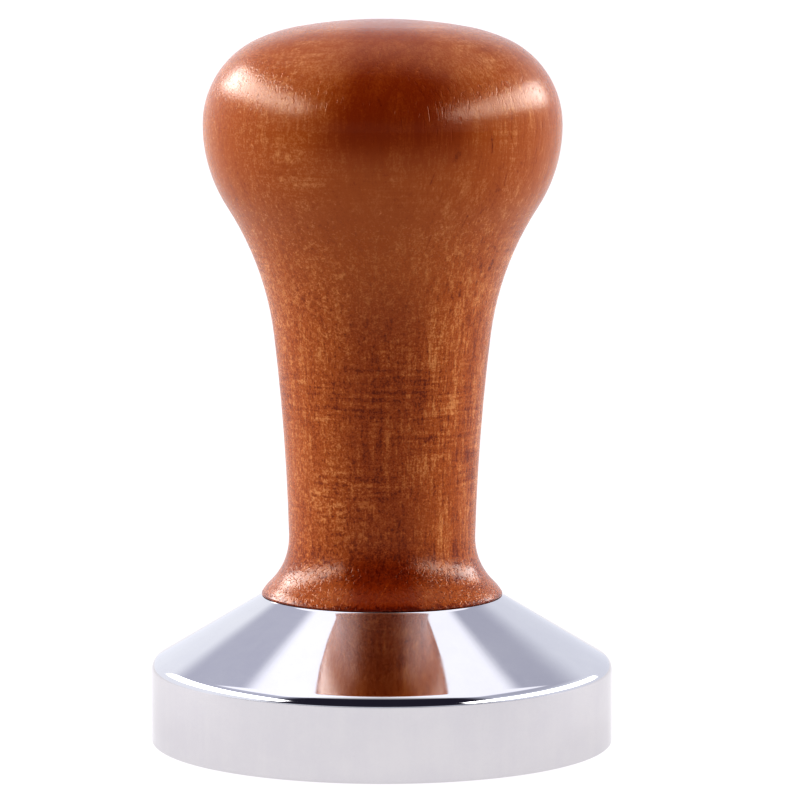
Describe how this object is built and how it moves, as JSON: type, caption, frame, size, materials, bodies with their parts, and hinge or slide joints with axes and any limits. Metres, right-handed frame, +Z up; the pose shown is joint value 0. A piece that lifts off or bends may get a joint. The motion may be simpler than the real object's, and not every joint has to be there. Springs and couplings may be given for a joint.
{
  "type": "espresso tamper",
  "caption": "Hand tamper for ground coffee: a turned wooden handle with a rounded head and narrow waist, screwed onto a solid polished steel base with a flat tamping face.",
  "frame": {"origin": "centre of the flat tamping face, where the tamper stands", "axes": "+Z up the turned axis, from the tamping face to the crown of the handle"},
  "size_m": [0.058, 0.058, 0.0906],
  "materials": {
    "polished_steel": "turned stainless steel, polished to a mirror",
    "stained_wood": "reddish-brown stained hardwood under a semi-gloss lacquer, with short pores and a rippled figure",
    "brass": "machined brass",
    "plated_steel": "plain zinc-plated steel"
  },
  "bodies": {
    "base": {"tamper_base": "polished_steel"},
    "stud": {"joining_stud": "plated_steel"},
    "handle": {"wood_handle": "stained_wood", "threaded_insert": "brass"}
  },
  "joints": [
    {"name": "stud_rise", "type": "slide", "parent": "base", "child": "stud", "axis": [0, 0, 1], "range_m": [0, 0.01]},
    {"name": "handle_turn", "type": "hinge", "parent": "stud", "child": "handle", "pos_m": [0, 0, 0.0185], "axis": [0, 0, 1], "range_deg": [0, 2880]}
  ],
  "couplings": [
    {"joint": "stud_rise", "follows": "handle_turn", "m_per_rad": 0.00019894}
  ]
}
